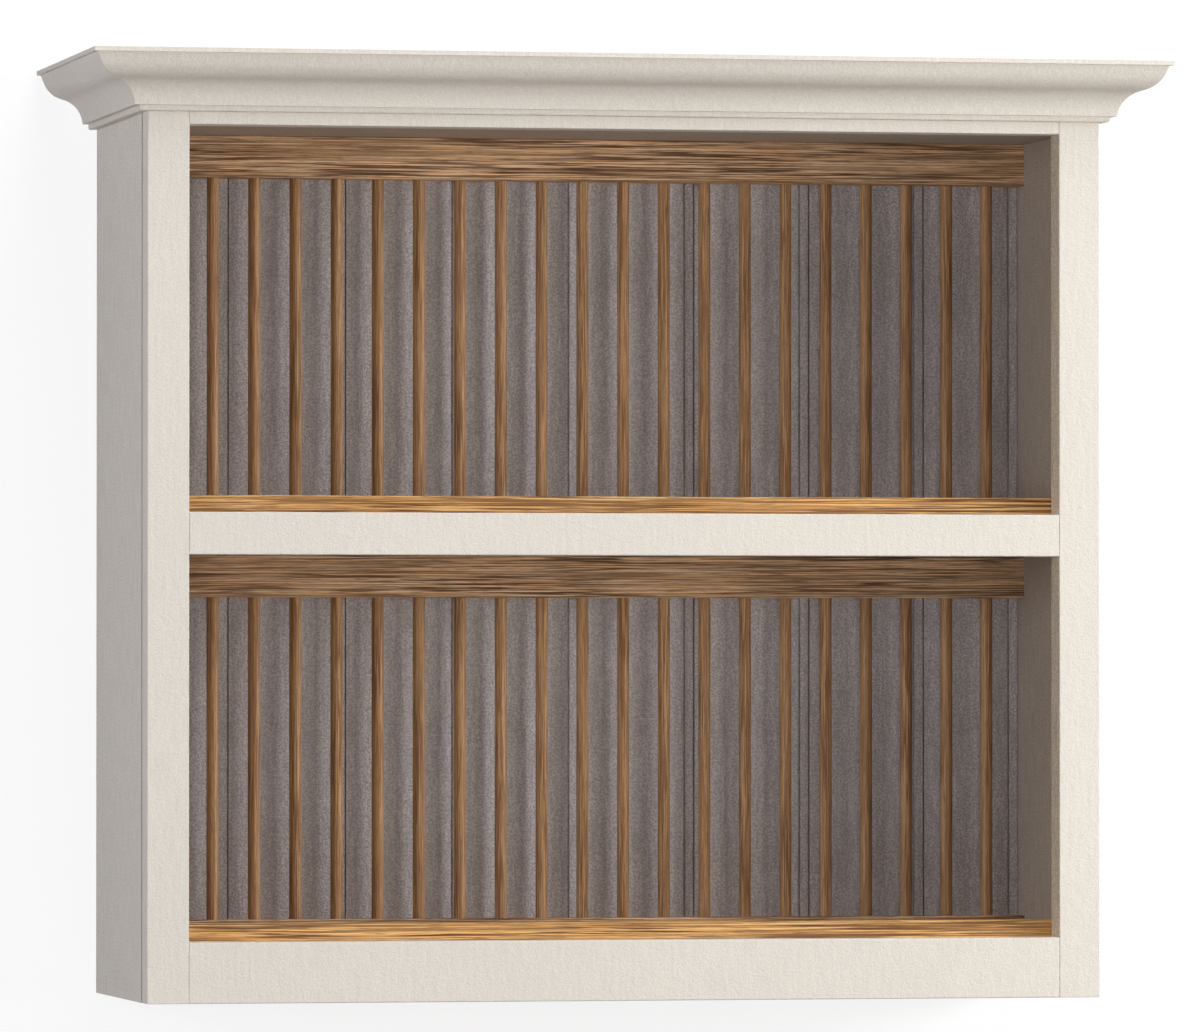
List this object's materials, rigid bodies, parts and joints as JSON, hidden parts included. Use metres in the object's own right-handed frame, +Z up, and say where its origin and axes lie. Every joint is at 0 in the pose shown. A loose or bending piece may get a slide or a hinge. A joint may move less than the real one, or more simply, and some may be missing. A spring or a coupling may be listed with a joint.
{
  "type": "wall plate rack",
  "caption": "Painted wall-hung plate rack: face-framed carcass with a mitred ogee cornice, beaded board back, oak dowel racks and front lips on each tier.",
  "frame": {"origin": "on the wall plane, at the middle of the bottom edge", "axes": "+X to the viewer's right, +Y into the wall, +Z up"},
  "size_m": [1.0152, 0.3676, 0.8726],
  "materials": {
    "painted_wood": "satin eggshell paint, warm cream",
    "inner_paint": "satin eggshell paint, taupe, inside the carcass",
    "oak": "oiled oak, open grain",
    "raw_softwood": "planed, unpainted",
    "zinc_steel": "zinc plated"
  },
  "bodies": {
    "root": {"left_side_panel": "painted_wood", "right_side_panel": "painted_wood", "left_stile": "painted_wood", "right_stile": "painted_wood", "top_rail": "painted_wood", "middle_rail": "painted_wood", "bottom_rail": "painted_wood", "cornice_front": "painted_wood", "cornice_left": "painted_wood", "cornice_right": "painted_wood", "top_panel": "inner_paint", "middle_shelf": "inner_paint", "bottom_panel": "inner_paint", "back_board_1": "inner_paint", "back_board_2": "inner_paint", "back_board_3": "inner_paint", "back_board_4": "inner_paint", "back_board_5": "inner_paint", "back_board_6": "inner_paint", "back_board_7": "inner_paint", "back_board_8": "inner_paint", "upper_rack_top_rail": "oak", "upper_rack_bottom_rail": "oak", "upper_rack_dowels": "oak", "lower_rack_top_rail": "oak", "lower_rack_bottom_rail": "oak", "lower_rack_dowels": "oak", "upper_front_lip": "oak", "lower_front_lip": "oak", "upper_hanging_rail": "raw_softwood", "lower_hanging_rail": "raw_softwood", "board_screws": "zinc_steel", "rack_screws": "zinc_steel", "lip_screws": "zinc_steel", "cornice_screws": "zinc_steel"}
  },
  "joints": []
}
